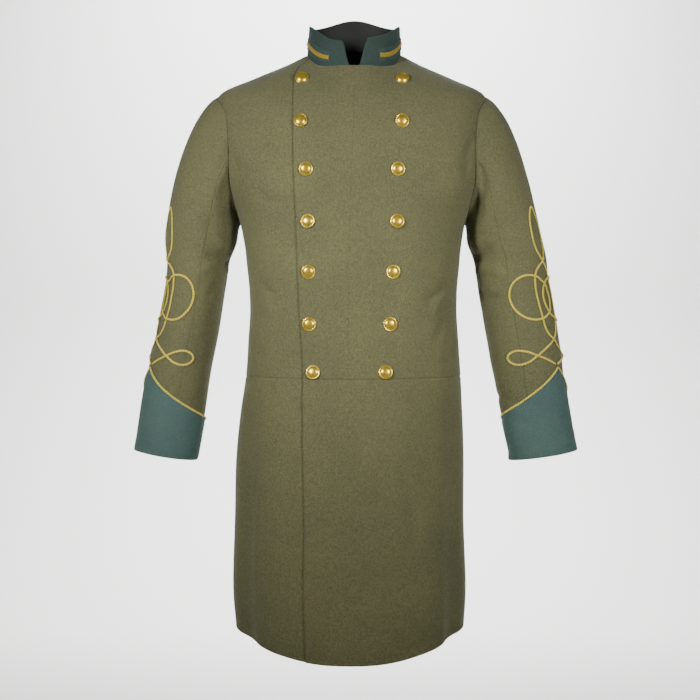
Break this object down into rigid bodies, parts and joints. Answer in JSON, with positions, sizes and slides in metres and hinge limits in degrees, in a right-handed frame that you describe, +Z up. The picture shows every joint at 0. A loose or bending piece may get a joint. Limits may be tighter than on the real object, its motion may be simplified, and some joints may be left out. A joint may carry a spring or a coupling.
{
  "type": "frock coat",
  "caption": "Double-breasted knee-length wool coat with a standing collar, pointed cuffs, raised braid loops on the sleeves and columns of domed metal buttons.",
  "frame": {"origin": "middle of the neck opening at the height of the collar seam's sides, where the coat hangs on its wearer", "axes": "+Z up, -Y is the coat's front, +X is the wearer's left"},
  "size_m": [0.7744, 0.3273, 1.129],
  "materials": {
    "wool": "felted wool",
    "facing": "felted wool",
    "collar_cloth": "felted wool",
    "braid": "woven cord",
    "brass": "polished"
  },
  "bodies": {
    "root": {"lapel_left": "wool", "front_left": "wool", "front_right": "wool", "side_body_left": "wool", "side_body_right": "wool", "back_left": "wool", "back_right": "wool", "skirt_left": "wool", "skirt_right": "wool", "top_sleeve_left": "wool", "top_sleeve_right": "wool", "under_sleeve_left": "wool", "under_sleeve_right": "wool", "cuff_left": "facing", "cuff_right": "facing", "collar_patch_left": "facing", "collar_patch_right": "facing", "collar": "collar_cloth", "braid_knot_left": "braid", "braid_knot_right": "braid", "braid_ring_front_left": "braid", "braid_ring_front_right": "braid", "braid_ring_back_left": "braid", "braid_ring_back_right": "braid", "cuff_piping_left": "braid", "cuff_piping_right": "braid", "collar_bar_left": "braid", "collar_bar_right": "braid", "button_left_1": "brass", "button_left_2": "brass", "button_left_3": "brass", "button_left_4": "brass", "button_left_5": "brass", "button_left_6": "brass", "button_left_7": "brass", "button_right_1": "brass", "button_right_2": "brass", "button_right_3": "brass", "button_right_4": "brass", "button_right_5": "brass", "button_right_6": "brass", "button_right_7": "brass"}
  },
  "joints": []
}
